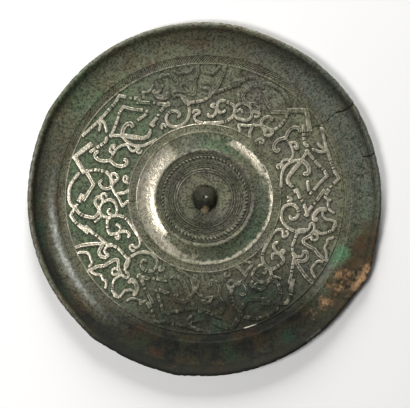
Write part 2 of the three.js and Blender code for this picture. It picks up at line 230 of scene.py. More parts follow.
# Bumps and flats of the worn rim: middle bearing, reach in degrees and growth of the radius.
RIM_SWELLS = [(24, 7, -.65), (56, 7, .4), (115, 4.8, 1.65), (189, 3, .5), (219, 3, .55), (298, 5, .6),
              (318, 17, .7)]
# Rings of vertices on the back: the radius that each run ends at, and its spacing.
CORE_ROWS = [(11, .9), (21.2, .17), (28.2, .3)]
OUTER_ROWS = [(33, .18), (57.4, .3), (62.4, .2), (70.8, .4), (RIM_RADIUS, .18)]
# The edge and the polished face: radius, and height as a share of the rim's outer corner.
EDGE_AND_FACE = [(RIM_RADIUS, .85), (RIM_RADIUS, .7), (RIM_RADIUS, .55), (RIM_RADIUS, .4),
                 (RIM_RADIUS, .27), (74.85, .14), (74.6, .05), (74.3, 0), (72, 0), (60, 0), (40, 0),
                 (20, 0), (0, 0)]

# ---- Damage ----

# Cracks run through these bearings and radii, from the edge inward.
LONG_CRACK = [(57.2, 75.5), (57.6, 72.6), (57.5, 69.8), (56.3, 66.8), (56.8, 61.5), (56.4, 55.3),
              (56.8, 50)]
WIDE_PART = slice(4)                  # of the long crack
SHORT_CRACK = [(74.8, 75.5), (75.4, 72.2), (74.9, 69.4)]
CRACK_REACH = 16                      # from the middle of a crack to past its ends
CHIP = (57, 72.6)                     # bearing and radius
EATEN_BEARING = 116                   # middle of the stretch of rim that corrosion has eaten
LUMP_TABLE = 251                      # random heights along each side of the table for lumps


# ---- Small shaping functions, on arrays of millimetres ----


def ease(share):
    share = np.clip(share, 0, 1)
    return share * share * (3 - 2 * share)


def rise(value, low, high):
    """0 up to low, 1 from high, and smooth between them."""
    return ease((value - low) / (high - low))


def bell(away, reach):
    return np.exp(-(away / reach) ** 2 / 2)


def turn_between(bearing, at):
    return (bearing - at + 180) % 360 - 180


def around(bearing, stops):
    """A value that changes round the mirror, from pairs of bearing and value."""
    bearings, values = zip(*sorted(stops))
    return np.interp(bearing, bearings, values, period=360)


def lumps(x, y, size, seed):
    """Smooth random relief from -1 to 1, in lumps of about that size."""
    table = np.random.default_rng(seed).uniform(-1, 1, (LUMP_TABLE, LUMP_TABLE))
    u, v = x / size + LUMP_TABLE // 2, y / size + LUMP_TABLE // 2
    column, row = np.floor(u).astype(int), np.floor(v).astype(int)
    across, along = ease(u - column), ease(v - row)

    def corner(i, j):
        return table[(column + i) % LUMP_TABLE, (row + j) % LUMP_TABLE]

    near = corner(0, 0) * (1 - across) + corner(1, 0) * across
    far = corner(0, 1) * (1 - across) + corner(1, 1) * across
    return near * (1 - along) + far * along


def crust(x, y, size, seed, octaves=3):
    """Rough relief from -1 to 1: lumps with finer lumps on them."""
    total, share = 0, 1
    for octave in range(octaves):
        total = total + share * lumps(x, y, size / 2 ** octave, seed + octave)
        share /= 2
    return total / (2 - 2 * share)


# ---- From the true drawing to the casting ----


def as_cast(x, y):
    """Where a point of the true drawing came out: oval, off centre and swollen at the rim."""
    radius = np.hypot(x, y)
    bearing = np.degrees(np.arctan2(x, y))
    off_centre = 1 - rise(radius, INNER_LINE, 82)
    oval = RINGS_OVAL * (1 - rise(radius, 60, RIM_RADIUS))
    growth = sum(swell * bell(turn_between(bearing, at), reach) for at, reach, swell in RIM_SWELLS)
    swell = 1 + growth * rise(radius, 64, RIM_RADIUS) / RIM_RADIUS
    return (x * (1 + oval) * swell + RINGS_OFF_CENTRE[0] * off_centre,
            y * (1 - oval) * swell + RINGS_OFF_CENTRE[1] * off_centre)


def as_drawn(x, y):
    """The point of the true drawing that came out here."""
    drawn_x, drawn_y = x, y
    for _ in range(5):
        cast_x, cast_y = as_cast(drawn_x, drawn_y)
        drawn_x, drawn_y = drawn_x + x - cast_x, drawn_y + y - cast_y
    return drawn_x, drawn_y


# ---- Relief of the dragon field ----


def on_field(bearing, height):
    radius = INNER_LINE + height * (OUTER_LINE - INNER_LINE)
    return radius * np.sin(np.radians(bearing)), radius * np.cos(np.radians(bearing))


def smooth_line(points, steps=7):
    """A curve through the points."""
    padded = np.vstack([points[0], points, points[-1]])
    before, here, there, after = padded[:-3], padded[1:-2], padded[2:-1], padded[3:]
    runs = []
    for t in np.arange(steps) / steps:
        bend = 2 * before - 5 * here + 4 * there - after
        twist = 3 * here - before - 3 * there + after
        runs.append(here + ((there - before) * t + bend * t ** 2 + twist * t ** 3) / 2)
    return np.vstack([np.stack(runs, 1).reshape(-1, 2), points[-1]])


def mitres(line):
    """How far each run of a sharp line is drawn out past its start and end, as a share of the width."""
    turns = np.zeros(len(line))
    run = np.diff(line, axis=0)
    heading = np.arctan2(run[:, 1], run[:, 0])
    turns[1:-1] = np.abs((np.diff(heading) + pi) % (2 * pi) - pi)
    return np.clip(np.tan(turns / 2) / 2, 0, 1.2)


def strap_at(strap, line, places):
    """For each place: how far it is outside the strap's edge, how far from the middle line, and how far
    along the strap. Distances are in millimetres."""
    start, run = line[:-1], np.diff(line, axis=0)
    length = np.hypot(run[:, 0], run[:, 1])
    way = run / length[:, None]
    offset = places[:, None, :] - start[None, :, :]
    along = (offset * way).sum(2)
    across = offset[:, :, 0] * way[:, 1] - offset[:, :, 1] * way[:, 0]
    held = np.clip(along, 0, length)
    if strap.sharp:
        reach = mitres(line) * strap.width
        past_end = np.maximum(-along - reach[:-1], along - length - reach[1:])
        outside = np.maximum(np.abs(across) - strap.width / 2, past_end)
    else:
        outside = np.hypot(across, along - held) - strap.width / 2
    nearest = outside.argmin(1)
    picked = np.arange(len(places)), nearest
    come = np.concatenate([[0], np.cumsum(length)])
    return outside[picked], np.abs(across[picked]), come[nearest] + held[picked], come[-1]


def dragon_relief(x, y):
    """Height of the straps as a share of the relief, distance outside their edges, and how deep in a
    joint or groove each place is."""
    radius, bearing = np.hypot(x, y), np.degrees(np.arctan2(x, y))
    in_third = (bearing - FIRST_BEARING) % THIRD
    places = np.stack([radius * np.sin(np.radians(in_third)), radius * np.cos(np.radians(in_third))], 1)
    height, outside, scored = np.zeros(len(x)), np.full(len(x), 9.0), np.zeros(len(x))
    for strap in STRAPS:
        for turn in (-THIRD, 0, THIRD):
            points = np.array([on_field(bearing + turn, share) for bearing, share in strap.path])
            line = points if strap.sharp else smooth_line(points)
            reach = strap.width + 1.5
            close = np.all((places > line.min(0) - reach) & (places < line.max(0) + reach), axis=1)
            if not close.any():
                continue
            away, off_middle, come, whole = strap_at(strap, line, places[close])
            shoulder = .9 * rise(-away, -.2, .04) + .1 * rise(-away, .04, .4)
            score = np.zeros(len(away))
            for cut in strap.cuts:
                score = np.maximum(score, 1 - rise(np.abs(come - cut * whole), .1, .24))
            if strap.grooved:
                score = np.maximum(score, .45 * (1 - rise(off_middle, .06, .2)))
            own = shoulder * (1 - .8 * score)
            higher = own > height[close]
            scored[close] = np.where(higher, score * shoulder, scored[close])
            height[close] = np.maximum(own, height[close])
            outside[close] = np.minimum(away, outside[close])
    return height, outside, scored


# ---- Height of the back ----


def crack_at(x, y, path, width):
    """1 in the middle of a crack that runs through these bearings and radii."""
    points = np.array([(r * np.sin(np.radians(b)), r * np.cos(np.radians(b))) for b, r in path])
    crack = Strap(width, path, sharp=True)
    close = np.hypot(x - points[:, 0].mean(), y - points[:, 1].mean()) < CRACK_REACH
    depth = np.zeros(len(x))
    away, _, _, _ = strap_at(crack, points, np.stack([x[close], y[close]], 1))
    depth[close] = 1 - rise(away, -width / 2, .1)
    return depth


def eaten(radius, bearing):
    """How far corrosion has eaten the rim at the swollen stretch."""
    return bell(turn_between(bearing, EATEN_BEARING), 13) * rise(radius, 62, 69)


def slanted_strokes(radius, bearing):
    """The strokes outside the dragon field: 1 along their tops, -1 in the grooves and 0 off them."""
    low, high, strokes = OUTER_HATCH
    band = rise(radius, low, low + .3) * (1 - rise(radius, high - .3, high))
    lean = (radius - low) / tan(OUTER_HATCH_SLANT) / np.maximum(radius, low)
    return band * around(bearing, OUTER_HATCH_KEPT) * np.sin((np.radians(bearing) - lean) * strokes)


def rope_strands(radius, bearing):
    """1 along the tops of the rope ring's strands and -1 between them."""
    return np.sin(np.radians(bearing) * ROPE_STRANDS + (radius - ROPE_RING) * ROPE_LEAN)


def undamaged_height(x, y):
    radius, bearing = np.hypot(x, y), np.degrees(np.arctan2(x, y))
    height = np.interp(radius, *zip(*SECTION))
    for at, half, tall in LINES:
        worn = .75 + .25 * lumps(x, y, 4, int(at * 10))
        height += tall * worn * np.clip(1 - ((radius - at) / half) ** 2, 0, 1)
    rope = .3 + .22 * rope_strands(radius, bearing)
    height += rope * np.clip(1 - ((radius - ROPE_RING) / .55) ** 2, 0, 1)
    low, high, strokes = INNER_HATCH
    band = rise(radius, low, low + .3) * (1 - rise(radius, high - .3, high))
    height += .07 * band * np.sin(np.radians(bearing) * strokes)
    height += .15 * slanted_strokes(radius, bearing)
    height += .08 * around(bearing, OUTER_EDGE_KEPT) * np.clip(1 - ((radius - OUTER_EDGE) / .25) ** 2, 0, 1)
    height += crust(x, y, 5, 11) * .05 * rise(radius, 60, 64) + crust(x, y, 1.6, 21) * .03
    return height


# How much of the straps' height is left, at bearings round the mirror.
STRAPS_KEPT = [(0, .85), (60, .9), (130, .75), (165, .6), (205, .6), (225, 1), (335, 1)]


def with_dragons(x, y, height):
    radius, bearing = np.hypot(x, y), np.degrees(np.arctan2(x, y))
    field = (radius > INNER_LINE - 1) & (radius < OUTER_LINE + 1)
    fx = x[field] + .09 * lumps(x[field], y[field], .8, 31)
    fy = y[field] + .09 * lumps(x[field], y[field], .8, 32)
    straps, _, _ = dragon_relief(fx, fy)
    kept = around(bearing[field], STRAPS_KEPT)
    ground = .04 * crust(x[field], y[field], .7, 41)
    tops = GROUND_HEIGHT + RELIEF * straps * kept
    height[field] = np.maximum(height[field] + ground * (1 - straps), tops)
    return height


def with_damage(x, y, height):
    radius, bearing = np.hypot(x, y), np.degrees(np.arctan2(x, y))
    gone = eaten(radius, bearing)
    lip = np.maximum(0, height - 2.4)
    height = height - lip * gone * (.62 + .3 * crust(x, y, 5, 51))
    height += gone * (.32 * crust(x, y, 3.2, 52) + .12 * crust(x, y, 1.1, 55, 2))
    height -= .6 * crack_at(x, y, LONG_CRACK, .3) * rise(radius, 48, 62)
    height -= 1.2 * crack_at(x, y, LONG_CRACK[WIDE_PART], .75)
    height -= 1.4 * crack_at(x, y, SHORT_CRACK, .5)
    chip = bell(turn_between(bearing, CHIP[0]), 1.6) * bell(radius - CHIP[1], 1.1)
    height -= 1.1 * chip
    pits = rise(lumps(x, y, 1.5, 61), .62, .95) * rise(lumps(x, y, 9, 62), -.1, .5)
    return height - .22 * pits * rise(radius, 20, 30)


def height_of_back(x, y):
    return with_damage(x, y, with_dragons(x, y, undamaged_height(x, y)))


# ---- Skin of the disc ----


def rows_of(start, runs):
    """Radii of the rings of vertices."""
    radii = [start]
    for end, spacing in runs:
        count = ceil((end - radii[-1]) / (spacing * COARSENESS))
        radii += list(np.linspace(radii[-1], end, count + 1)[1:])
    return radii


def mesh_of(bm, name):
    mesh = bpy.data.meshes.new(name)
    bm.to_mesh(mesh)
    bm.free()
    return mesh


def sheet(bm, columns, radii, below=()):
    """A grid rolled round the middle. Its rows are rings on the back, then the edge and the face below."""
    rows = len(radii) + len(below)
    made = bmesh.ops.create_grid(bm, x_segments=columns, y_segments=rows - 1, size=.5)["verts"]
    bearing = np.radians(np.linspace(0, 360, columns + 1))
    ring = np.array(radii + [radius for radius, _ in below])
    x, y = np.outer(ring, np.sin(bearing)), np.outer(ring, np.cos(bearing))
    height = np.zeros(x.shape)
    back = slice(0, len(radii))
    height[back] = height_of_back(x[back].ravel(), y[back].ravel()).reshape(-1, columns + 1)
    for row, (_, share) in enumerate(below, len(radii)):
        height[row] = height[len(radii) - 1] * share
    nibbled = 1 - .0035 * rise(np.abs(crust(x, y, 2.4, 71)), .1, .8) * rise(np.hypot(x, y), 73, 75)
    x, y = as_cast(x * nibbled, y * nibbled)
    places = np.stack([x, y, height], 2)
    places[:, -1] = places[:, 0]
    for vert, place in zip(made, places.reshape(-1, 3).tolist()):
        vert.co = place


def disc_mesh():
    bm = bmesh.new()
    sheet(bm, CORE_COLUMNS, rows_of(0, CORE_ROWS))
    sheet(bm, FINE_COLUMNS, rows_of(CORE_ROWS[-1][0] + .2, OUTER_ROWS), EDGE_AND_FACE)
    bmesh.ops.remove_doubles(bm, verts=[vert for vert in bm.verts if vert.is_boundary], dist=1e-4)
    bmesh.ops.bridge_loops(bm, edges=[edge for edge in bm.edges if edge.is_boundary])
    bmesh.ops.recalc_face_normals(bm, faces=bm.faces)
    return mesh_of(bm, "disc")


# ---- Knob, with its cord hole ----


def scaled_at(place, half_sizes):
    return Matrix.LocRotScale(Vector(place), None, Vector(half_sizes))


def knob_mesh():
    """A steep worn dome whose foot is sunk into the plate."""
    bm = bmesh.new()
    bmesh.ops.create_uvsphere(bm, u_segments=112, v_segments=64, radius=1)
    for vert in bm.verts:
        out, up = vert.co.xy.length, vert.co.z
        full = (out ** KNOB_FULLNESS + abs(up) ** KNOB_FULLNESS) ** (-1 / KNOB_FULLNESS)
        worn = 1 - .07 * (1 + crust(vert.co.x + up, vert.co.y - up, .33, 81))
        vert.co *= full * worn
        vert.co.z = max(vert.co.z, -.1)
    bmesh.ops.remove_doubles(bm, verts=bm.verts, dist=1e-5)
    height = KNOB_TOP - FIELD_HEIGHT
    bmesh.ops.transform(bm, matrix=scaled_at(KNOB_PLACE, (*KNOB_HALF, height)), verts=bm.verts)
    return mesh_of(bm, "knob")


def cord_hole_mesh():
    """The hole that is cut through the knob along Y."""
    bm = bmesh.new()
    middle = Vector(KNOB_PLACE) + Vector((0, 0, CORD_HOLE_SILL + CORD_HOLE_HALF[1]))
    hole = bmesh.ops.create_cone(bm, segments=40, radius1=1, radius2=1, depth=2, cap_ends=True)["verts"]
    bmesh.ops.rotate(bm, matrix=Matrix.Rotation(pi / 2, 3, "X"), verts=hole)
    half = (CORD_HOLE_HALF[0], KNOB_HALF[1] + 2, CORD_HOLE_HALF[1])
    bmesh.ops.transform(bm, matrix=scaled_at(middle, half), verts=hole)
    return mesh_of(bm, "cord_hole")


def worn_mouth_mesh():
    """What the cord has worn away at the lower mouth of its hole."""
    bm = bmesh.new()
    bmesh.ops.create_uvsphere(bm, u_segments=48, v_segments=32, radius=1)
    bmesh.ops.transform(bm, matrix=scaled_at(*WORN_MOUTH), verts=bm.verts)
    floor = FIELD_HEIGHT + CORD_HOLE_SILL
    for vert in bm.verts:
        vert.co.z = max(vert.co.z, floor)
    bmesh.ops.remove_doubles(bm, verts=bm.verts, dist=1e-5)
    return mesh_of(bm, "worn_mouth")


def object_of(mesh, name):
    made = bpy.data.objects.new(name, mesh)
    bpy.context.scene.collection.objects.link(made)
    return made


def applied(piece):
    """Gives the piece the mesh that its modifiers make."""
    graph = bpy.context.evaluated_depsgraph_get()
    mesh = bpy.data.meshes.new_from_object(piece.evaluated_get(graph))
    piece.modifiers.clear()
    piece.data = mesh


def casting():
    """Disc and knob as one skin, pierced by the cord hole, with its flatter parts in larger faces."""
    piece = object_of(disc_mesh(), "bronze_mirror_cast")
    steps = [("UNION", knob_mesh()), ("DIFFERENCE", cord_hole_mesh()), ("DIFFERENCE", worn_mouth_mesh())]
    tools = []
    for operation, mesh in steps:
        tools.append(object_of(mesh, mesh.name))
        join = piece.modifiers.new(mesh.name, "BOOLEAN")
        join.solver = "MANIFOLD"
        join.operation = operation
        join.object = tools[-1]
    applied(piece)
    for tool in tools:
        bpy.data.objects.remove(tool)
    piece.data.calc_loop_triangles()
    thin = piece.modifiers.new("fewer_faces", "DECIMATE")
    thin.ratio = min(1, TRIANGLES / len(piece.data.loop_triangles))
    thin.use_collapse_triangulate = True
    applied(piece)
    return piece


def soil_plug():
    """Burial soil that still fills the mouth of the cord hole."""
    bm = bmesh.new()
    bmesh.ops.create_uvsphere(bm, u_segments=40, v_segments=28, radius=1)
    for vert in bm.verts:
        vert.co *= 1 + .16 * crust(vert.co.x + vert.co.z, vert.co.y - vert.co.z, .7, 91)
    bmesh.ops.transform(bm, matrix=scaled_at(*SOIL_PLUG), verts=bm.verts)
    for vert in bm.verts:
        vert.co.z = max(vert.co.z, FIELD_HEIGHT - .1)
    bmesh.ops.scale(bm, vec=(MM, MM, MM), verts=bm.verts)
    mesh = mesh_of(bm, "cord_hole_soil")
    mesh.shade_smooth()
    return object_of(mesh, "cord_hole_soil")


# ---- What the finish is made of at each place, and where shade and highlights are painted ----


# Shares of the surface, in pairs of bearing and share round the mirror.
BARE_STRAPS_INSIDE = [(0, .52), (45, .4), (60, .5), (90, .6), (120, .5), (150, .25), (195, .15),
                      (225, .35), (245, .8), (285, .8), (320, .45), (345, .42)]
BARE_STRAPS_OUTSIDE = [(0, 0), (30, .06), (60, .36), (100, .42), (130, .35), (150, .05), (200, .05),
                       (215, .35), (228, .7), (243, .92), (285, .82), (320, .4), (345, .08)]
BARE_RINGS = [                        # radius and shares
    (11.7, [(0, .4), (60, .15), (200, .1), (260, .35), (300, .5)]),
    (12.6, [(0, .3), (60, .15), (200, .15), (300, .35)]),
    (20.5, [(0, .35), (90, .15), (180, .2), (270, .5), (320, .5)]),
    (28.6, [(0, .05), (50, .1), (68, .8), (105, .8), (125, .35), (165, .5), (200, .35), (225, .1),
            (255, .4), (285, .85), (315, .3), (345, .25)]),
    (INNER_LINE - .05, [(0, .6), (30, .25), (60, .25), (90, .4), (135, .3), (200, .25), (225, .75),
                        (255, 1), (330, 1), (350, .85)]),
    (OUTER_LINE, [(0, .1), (45, .1), (65, .5), (90, .15), (130, .1), (150, 0), (157.5, 0), (158.5, .8),
                  (163, .8), (164, 0), (200, 0), (212, .3), (225, .6), (320, .5), (340, .1)]),
]
BARE_BAND_INSIDE = [(0, 0), (190, 0), (215, .1), (226, .5), (238, 1), (318, 1), (330, .15), (345, 0)]
BARE_BAND_OUTSIDE = [(0, .2), (20, .3), (28, .65), (58, .65), (70, .4), (82, .05), (180, .05), (190, .35),
                     (206, .45), (213, .7), (262, .6), (320, .75), (332, .15)]
RAGGED_BAND = [(40, 0), (70, 1), (185, 1), (212, 0)]
# Pale grey on the rim lip: painted highlight along its top and left, and a worn streak at about 140
# degrees.
LIP_WEAR_AND_PAINTED_HIGHLIGHT = [(0, .4), (20, .25), (60, .05), (100, 0), (137, 0), (139, .6), (144, .6), (146, 0), (205, 0),
            (230, .3), (262, .35), (278, .6), (300, .35), (345, .4)]
GREEN_FIELD = [(0, .2), (60, .15), (110, .15), (170, .2), (210, .4), (250, .6), (320, .5), (345, .3)]
GREEN_BAND = [(0, .5), (25, .6), (50, .2), (80, .45), (150, .6), (185, .3), (205, 0), (340, 0),
              (352, .4)]
GREEN_BORDER = [(0, .3), (20, .1), (40, .15), (75, .25), (110, .4), (140, .2), (160, .3), (220, .2),
                (240, .1), (290, .3), (310, .6), (330, .3)]
# Shares of the dark layer: dark patina, and a painted shadow over the lower part of the mirror, about 120
# to 225 degrees.
DARK_BOSS = [(0, 0), (80, 0), (120, .05), (165, .15), (270, .25), (330, .15)]
DARK_BAND = [(60, 0), (90, .3), (130, .5), (180, .5), (205, .1), (215, 0)]
DARK_FIELD = [(0, 0), (90, .1), (120, .35), (150, .8), (200, .7), (228, .15), (250, 0)]
DARK_BORDER_INSIDE = [(0, .4), (30, .3), (60, .15), (90, .1), (120, .25), (148, 1), (203, 1), (222, .5),
                      (240, .15), (262, .5), (285, .5), (310, .25), (330, 0)]
DARK_BORDER_OUTSIDE = [(0, .4), (30, .6), (60, .5), (90, .3), (120, .45), (145, 1), (215, 1), (240, 1),
                       (270, .8), (300, .3), (330, .2)]
DARK_RIM = [(0, 0), (30, .1), (60, .3), (90, .3), (120, .7), (145, 1), (200, 1), (225, .5), (250, 0)]
STAINED_STRAPS = [(325, 0), (348, .3), (18, .3), (40, .15), (60, 0)]
# Painted shadow over the outer border and the outer line at the bottom of the mirror.
PAINTED_SHADOW_AT_BOTTOM = [(110, 0), (145, 1), (157, 1), (158, .7), (163, .7), (164, 1), (212, 1), (235, 0)]
COOL_BORDER = [(10, 0), (35, .6), (95, .6), (110, 0), (200, .2), (260, .2), (280, 0)]
RUSTY_BORDER = [(90, .1), (105, .9), (130, .9), (165, .5), (195, .5), (215, .15), (280, .3), (300, .45),
                (330, .2), (40, .3), (60, .5), (70, .1)]
# Spots of crust: strength, place and reach.
MALACHITE_SPOTS = [
    (1, (58.2, -22.9), 2.7), (.5, (54, -27), 2.2), (.3, (-55.1, 39.3), 3), (.3, (14.9, -66.3), 1.1),
    (.3, (25, -64.6), 1.1), (.4, (68.4, -7), 2.4), (.35, (62, 2), 2.6), (.4, (66, -14), 2),
    (.35, (50, -39), 2.4), (.35, (6, 25.5), 2.4), (.3, (-1, 23), 1.6),
]
OCHRE_SPOTS = [
    (.8, (68.8, -29), 1.5), (.9, (66.8, -33), 1.8), (.8, (64.2, -36.8), 1.6), (.65, (56.4, -32), 1.3),
    (.35, (-62.6, 35.4), 2.4), (.5, (52.7, -36.5), 1.6), (.6, (51.4, -43.3), 2.2),
    (.45, (58, -38), 2.4), (.4, (61, -31), 2), (.35, (46.4, -48.6), 2), (.35, (-13, -71), 1.5),
    (.25, (-6, -70), 2), (.2, (8, -70), 2),
]
# Shares again, of a pale grey layer, partly painted highlight and partly grey patina, and of the marks that
# the turning left.
# Painted highlight: pale grey along the inner slope of the hollow border on the left.
PAINTED_HIGHLIGHT_ON_BORDER = [(200, 0), (215, .2), (228, .45), (240, .7), (262, .65), (276, .3), (290, .1), (300, 0)]
SMOOTH_STREAK = [(112, 0), (117, .35), (128, .35), (140, 0)]
SMOOTH_BAND = [(300, 0), (325, 1), (358, 1), (12, 0)]
TURNING_MARKS = [(20, .2), (45, .8), (120, .8), (150, .3), (195, .4), (215, 1), (275, .8), (300, .3)]
TURNING_SPACING = .8
KNOB_TOP_WEAR_AND_HIGHLIGHT = (.6, .9)                 # where the top of the knob is bare, a spot that is also its painted highlight


def spots(x, y, places):
    return sum(strength * np.exp(-((x - at_x) ** 2 + (y - at_y) ** 2) / (2 * reach ** 2))
               for strength, (at_x, at_y), reach in places)


def between(value, low, high, inside, outside):
    """Goes from the inside value to the outside one."""
    return inside + (outside - inside) * rise(value, low, high)


def bare_straps(radius, bearing, straps, outside):
    """Where the tops and rubbed edges of the straps, and the lines beside the field, are still bare."""
    inner, outer = around(bearing, BARE_STRAPS_INSIDE), around(bearing, BARE_STRAPS_OUTSIDE)
    kept = between(radius, 37, 53, inner, outer)
    share = straps * kept + .22 * bell(outside + .15, .15)
    for at, bare in BARE_RINGS:
        share = np.maximum(share, around(bearing, bare) * (1 - rise(np.abs(radius - at), .2, .4)))
    return share


def silver_share(x, y, radius, bearing, straps, outside, band):
    inner, outer = around(bearing, BARE_BAND_INSIDE), around(bearing, BARE_BAND_OUTSIDE)
    on_band = between(radius, 23, 26, inner, outer)
    ragged = .75 * around(bearing, RAGGED_BAND) * rise(radius, 26.4, 28.3)
    share = bare_straps(radius, bearing, straps, outside)
    share = np.maximum(share, band * np.maximum(on_band, ragged))
    # A bare spot on the knob's top, which is also its painted highlight.
    share = np.maximum(share, .6 * bell(np.hypot(x - KNOB_TOP_WEAR_AND_HIGHLIGHT[0], y - KNOB_TOP_WEAR_AND_HIGHLIGHT[1]), .65))
    return np.maximum(share, .3 * bell(radius - ROPE_RING, .5))


def pale_grey_and_painted_highlight_share(radius, bearing, band):
    # Painted highlight on the left border and on the rim lip's top and left; grey patina in the streak and
    # on the band.
    share = bell(radius - 64.4, 1.4) * around(bearing, PAINTED_HIGHLIGHT_ON_BORDER)
    share = np.maximum(share, bell(radius - 60.3, 1) * around(bearing, SMOOTH_STREAK))
    share = np.maximum(share, .2 * band * around(bearing, SMOOTH_BAND))
    return np.maximum(share, bell(radius - 73.9, .45) * around(bearing, LIP_WEAR_AND_PAINTED_HIGHLIGHT))


def dirt_and_painted_shade_share(radius, bearing, straps, scored, outside, field):
    # Dark joints and grooves, and painted shade in a dark line on the ground along the feet of the straps.
    share = np.maximum(scored, .6 * (1 - rise(outside, .25, .65)) * (1 - straps)) * field
    share = np.maximum(share, straps * rise(radius, 40, 47) * around(bearing, STAINED_STRAPS))
    # Darker beside the boss's fine rings, between the rope's strands and in the slanted grooves.
    for at, half, _ in LINES:
        share = np.maximum(share, bell(np.abs(radius - at) - half - .12, .15) * (radius < 21))
    between_strands = rise(-rope_strands(radius, bearing), -.1, .5)
    share = np.maximum(share, 1.3 * bell(radius - ROPE_RING, .5) * between_strands)
    # Painted shade on the steep inner wall of the rim.
    share = np.maximum(share, .7 * bell(radius - 72, .55))
    # Painted shadow over the outer border and the outer line towards the bottom.
    painted_shadow_rings = np.maximum(rise(radius, 69.5, 71.5), .7 * bell(radius - OUTER_LINE, .35))
    share = np.maximum(share, painted_shadow_rings * around(bearing, PAINTED_SHADOW_AT_BOTTOM))
    return np.maximum(share, .55 * rise(-slanted_strokes(radius, bearing), 0, 1))


def dark_patina_and_painted_shadow_share(radius, bearing, band):
    # Dark patina, with a painted shadow over the lower part of the mirror.
    inner, outer = around(bearing, DARK_BORDER_INSIDE), around(bearing, DARK_BORDER_OUTSIDE)
    on_border = between(radius, 66.5, 71, inner, outer)
    on_border = between(radius, 72.4, 73.2, on_border, around(bearing, DARK_RIM))
    on_ground = rise(radius, 24, 50) * around(bearing, DARK_FIELD)
    share = between(radius, OUTER_LINE, OUTER_LINE + 4, on_ground, on_border)
    share = np.maximum(share, band * around(bearing, DARK_BAND))
    return np.maximum(share, (1 - rise(radius, 15, 20)) * around(bearing, DARK_BOSS))


def turned_share(radius, bearing):
    on_boss = .4 * (1 - rise(radius, 10, 11.2)) * rise(radius, 6, 7)
    on_border = rise(radius, OUTER_LINE, OUTER_LINE + .5) * around(bearing, TURNING_MARKS)
    return np.maximum(on_boss, on_border)


def finish_shares(x, y, z):
    """Share, from 0 to 1, of each kind of surface, and of painted shade and highlight, at each place on the
    casting.
    """
    drawn_x, drawn_y = as_drawn(x, y)
    radius, bearing = np.hypot(drawn_x, drawn_y), np.degrees(np.arctan2(drawn_x, drawn_y)) % 360
    back = rise(z, 1.2, 1.9)
    past_field = rise(radius, OUTER_LINE - .5, OUTER_LINE)
    field = rise(radius, INNER_LINE, INNER_LINE + .5) * (1 - past_field) * back
    band = rise(radius, 20.7, 21.2) * (1 - rise(radius, 28, 28.4)) * back
    border = rise(radius, OUTER_LINE, OUTER_LINE + 4)
    straps, scored, outside = np.zeros(len(x)), np.zeros(len(x)), np.full(len(x), 9.0)
    here = field > 0
    straps[here], outside[here], scored[here] = dragon_relief(drawn_x[here], drawn_y[here])
    on_knob = 1 - rise(np.hypot(x - KNOB_PLACE[0], y - KNOB_PLACE[1]), 5.2, 6.4)
    gone = np.clip(eaten(radius, bearing) * 1.3, 0, 1)
    green = (field * around(bearing, GREEN_FIELD) + band * around(bearing, GREEN_BAND)
             + border * around(bearing, GREEN_BORDER))
    return {
        "turned": turned_share(radius, bearing) * back * (1 - gone),
        "silver": silver_share(x, y, radius, bearing, straps, outside, band) * back,
        "pale_grey_and_painted_highlight": pale_grey_and_painted_highlight_share(radius, bearing, band) * back,
        "green": green,
        "rust": np.maximum(gone, .5 * rise(radius, 66, 73) * around(bearing, RUSTY_BORDER)),
        "ochre": spots(x, y, OCHRE_SPOTS),
        "malachite": spots(x, y, MALACHITE_SPOTS),
        "dirt_and_painted_shade": dirt_and_painted_shade_share(radius, bearing, straps, scored, outside, field) * back,
        "brown": .8 * border + .3 * on_knob,
        "dark_patina_and_painted_shadow": np.maximum(dark_patina_and_painted_shadow_share(radius, bearing, band) * back, .8 * on_knob),
        "cool": border * around(bearing, COOL_BORDER),
    }


def store_finish(mesh):
    places = np.empty(len(mesh.vertices) * 3)
    mesh.vertices.foreach_get("co", places)
    for name, share in finish_shares(*places.reshape(-1, 3).T).items():
        stored_share = mesh.attributes.new(name, "FLOAT", "POINT")
        stored_share.data.foreach_set("value", share.astype(np.float32))


# ---- Materials ----


def shade(code):
    """An sRGB hex colour as the linear values that shaders take."""
    parts = [int(code[i:i + 2], 16) / 255 for i in (1, 3, 5)]
    return (*(part / 12.92 if part <= .04045 else ((part + .055) / 1.055) ** 2.4 for part in parts), 1)


def add(tree, kind, inputs=(), out=0, **settings):
    """Adds a node with its settings, fills or links its inputs, and gives one of its outputs."""
    made = tree.nodes.new("ShaderNode" + kind)
    for name, value in settings.items():
        setattr(made, name, value)
    for name, value in dict(inputs).items():
        if isinstance(value, bpy.types.NodeSocket):
            tree.links.new(value, made.inputs[name])
        else:
            made.inputs[name].default_value = value
    return made.outputs[out] if made.outputs else None


def new_material(name):
    material = bpy.data.materials.new(name)
    material.use_nodes = True
    material.node_tree.nodes.clear()
    return material, material.node_tree


def blotches(tree, size, low=.35, high=.65, detail=4):
    """Cloudy patches of about that size in millimetres, 0 between them and 1 in them."""
    place = add(tree, "TexCoord", out="Object")
    cloud = add(tree, "TexNoise", {"Vector": place, "Scale": 1 / (size * MM), "Detail": detail})
    return add(tree, "MapRange", {"Value": cloud, "From Min": low, "From Max": high})


def stored(tree, name):
    return add(tree, "Attribute", out="Fac", attribute_name=name)


def broken_up(tree, share, pattern, softness=.12):
    """Breaks a smooth share up into patches with ragged edges."""
    spread = add(tree, "MapRange", {"Value": pattern, "To Max": 1 - softness})
    total = add(tree, "Math", {0: share, 1: spread}, operation="ADD")
    limits = {"Value": total, "From Min": 1 - softness, "From Max": 1}
    return add(tree, "MapRange", limits, interpolation_type="SMOOTHSTEP")


def laid_over(tree, under, over, share):
    """One surface lying over another where its share is 1. A surface is a colour, a roughness and how
    metallic it is."""
    colour = add(tree, "MixRGB", {"Fac": share, "Color1": under[0], "Color2": over[0]})
    rest = [add(tree, "Mix", {0: share, 2: low, 3: high}) for low, high in zip(under[1:], over[1:])]
    return (colour, *rest)


